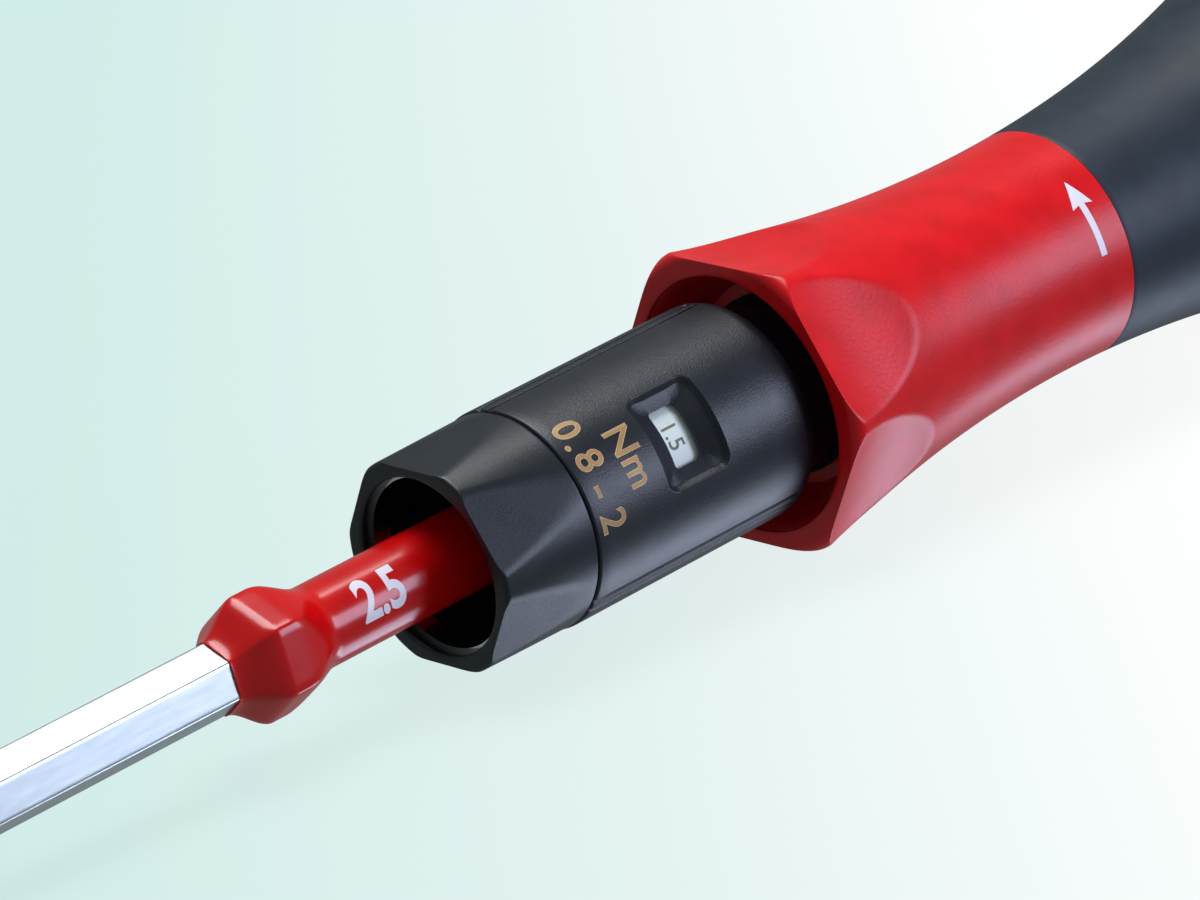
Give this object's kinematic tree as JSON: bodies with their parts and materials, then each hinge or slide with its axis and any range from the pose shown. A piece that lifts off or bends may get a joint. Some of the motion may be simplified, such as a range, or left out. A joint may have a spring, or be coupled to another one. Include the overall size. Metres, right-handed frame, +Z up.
{
  "type": "torque screwdriver",
  "caption": "Adjustable torque screwdriver: bulged grip, flared collar with six hollows, turning sleeve with a scale window, and a pull-out hexagon blade with a coloured tube.",
  "frame": {"origin": "middle of the rear end, where the setting key goes in", "axes": "+X along the tool towards the tip of the blade, +Z up, with one of the collar's six hollows facing down (-Z)"},
  "size_m": [0.2425, 0.0338, 0.0338],
  "materials": {
    "core_red": "fine grained, satin",
    "grip_black": "smooth, matt",
    "cap_plastic": "satin",
    "sleeve_plastic": "fine grained, satin",
    "tube_red": "glossy",
    "steel": "machined",
    "spring_steel": "drawn",
    "blade_steel": "satin chrome plate",
    "ball_steel": "polished",
    "brass": "machined",
    "drum_white": "satin anodised"
  },
  "bodies": {
    "handle": {"handle_core": "core_red", "grip": "grip_black", "end_cap": "cap_plastic", "front_bush": "brass", "cam_ring": "steel"},
    "drive": {"sleeve": "sleeve_plastic", "nose_ring": "sleeve_plastic", "mouth_ring": "ball_steel", "drive_socket": "steel", "blade_clip": "spring_steel", "drive_shaft": "steel", "neck_pins": "steel", "thrust_washer": "brass", "spindle_washer": "brass", "clutch_spring": "spring_steel"},
    "carrier": {"ball_carrier": "steel", "detent_balls": "ball_steel", "front_spring_seat": "steel"},
    "spindle": {"setting_spindle": "steel", "scale_drum": "drum_white", "drum_clip": "spring_steel"},
    "nut": {"spring_nut": "brass", "rear_spring_seat": "steel"},
    "blade": {"blade_shank": "blade_steel", "blade_grip": "tube_red"}
  },
  "joints": [
    {"name": "drive_turn", "type": "hinge", "parent": "handle", "child": "drive", "pos_m": [0, 0, 0], "axis": [1, 0, 0], "continuous": true},
    {"name": "clutch_lift", "type": "slide", "parent": "drive", "child": "carrier", "axis": [-1, 0, 0], "range_m": [0, 0.00075], "stiffness_N_per_m": 1000, "springref_m": -0.01, "deforming": ["clutch_spring"]},
    {"name": "setting_turn", "type": "hinge", "parent": "drive", "child": "spindle", "pos_m": [0, 0, 0], "axis": [1, 0, 0], "range_deg": [-189, 135]},
    {"name": "nut_slide", "type": "slide", "parent": "drive", "child": "nut", "axis": [1, 0, 0], "range_m": [-0.00106, 0.00076], "deforming": ["clutch_spring"]},
    {"name": "blade_slide", "type": "slide", "parent": "drive", "child": "blade", "axis": [1, 0, 0], "range_m": [0, 0.03]}
  ],
  "couplings": [
    {"joint": "nut_slide", "follows": "setting_turn", "m_per_rad": 0.00031831}
  ]
}
